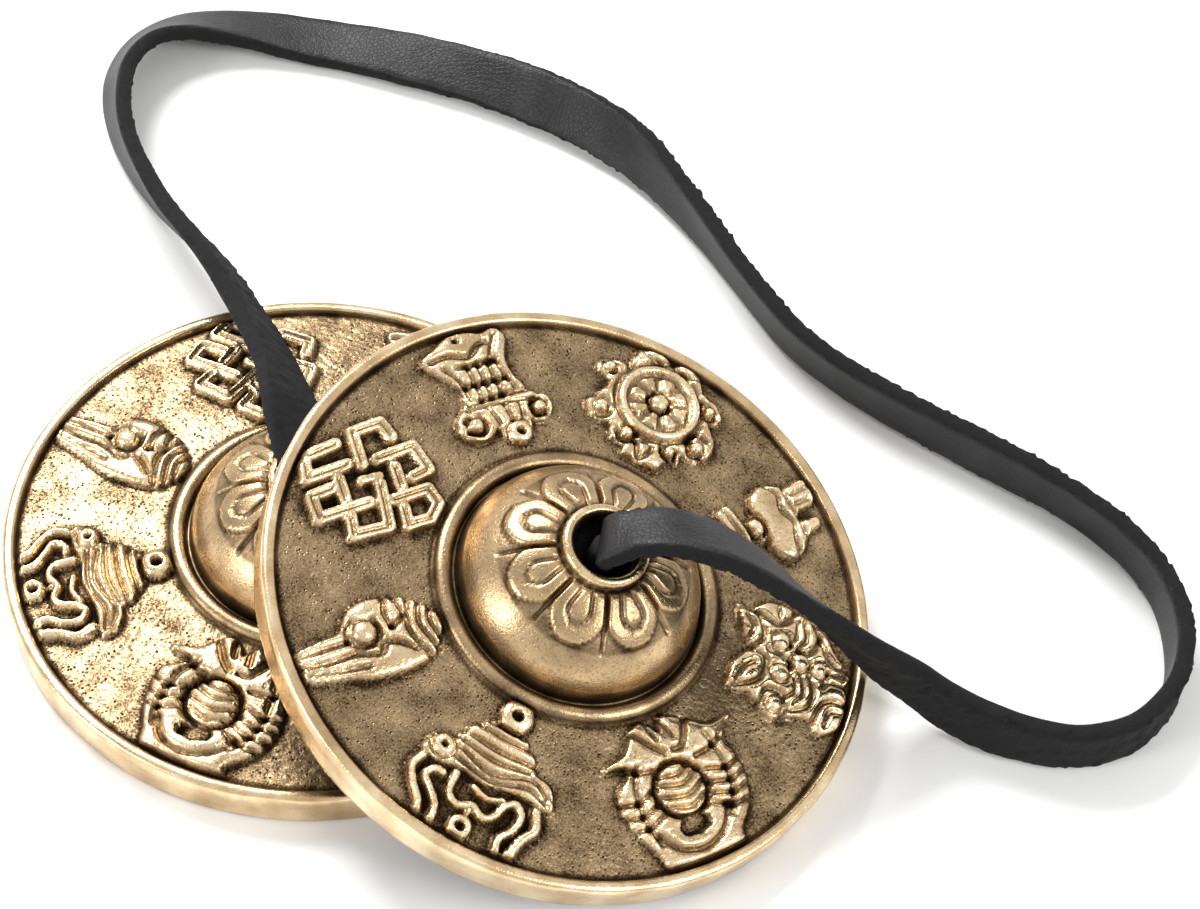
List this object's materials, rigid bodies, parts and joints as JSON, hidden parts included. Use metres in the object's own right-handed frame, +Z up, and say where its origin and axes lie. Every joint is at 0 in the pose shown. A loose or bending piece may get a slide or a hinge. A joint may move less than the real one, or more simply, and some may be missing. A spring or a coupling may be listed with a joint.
{
  "type": "tingsha",
  "caption": "Pair of small cast bronze cymbals with raised traditional symbols, joined by a flat leather strap knotted inside each dome.",
  "frame": {"origin": "middle of the two cymbals' box, on the surface they rest on", "axes": "+Z up along the axis of the cymbal that lies flat; the other cymbal leans on it from the +X side"},
  "size_m": [0.1401, 0.1296, 0.0301],
  "materials": {
    "cast_bronze": "cast, dark in the hollows, rubbed bright on the raised parts",
    "black_leather": "dyed, matt, rough on the flesh side"
  },
  "bodies": {
    "rear_cymbal_body": {"rear_cymbal": "cast_bronze"},
    "rear_strap_body": {"rear_knot": "black_leather", "rear_neck": "black_leather", "rear_strap": "black_leather"},
    "front_strap_body": {"front_strap": "black_leather"},
    "front_knot_body": {"front_knot": "black_leather", "front_neck": "black_leather"},
    "front_cymbal_body": {"front_cymbal": "cast_bronze"}
  },
  "joints": [
    {"name": "rear_swivel", "type": "hinge", "parent": "rear_cymbal_body", "child": "rear_strap_body", "pos_m": [-0.01469, 0.0045, 0.0159], "axis": [0, 0, 1], "continuous": true},
    {"name": "strap_bend", "type": "hinge", "parent": "rear_strap_body", "child": "front_strap_body", "pos_m": [-0.04807, 0.05964, 0.0043], "axis": [0, 0, 1], "range_deg": [0, 40]},
    {"name": "front_tilt", "type": "hinge", "parent": "front_strap_body", "child": "front_knot_body", "pos_m": [0.01796, -0.00613, 0.02566], "axis": [0, 1, 0], "range_deg": [0, 15]},
    {"name": "front_swivel", "type": "hinge", "parent": "front_knot_body", "child": "front_cymbal_body", "pos_m": [0.01872, -0.00606, 0.025], "axis": [0.2526, -0.1156, 0.9606], "continuous": true}
  ]
}
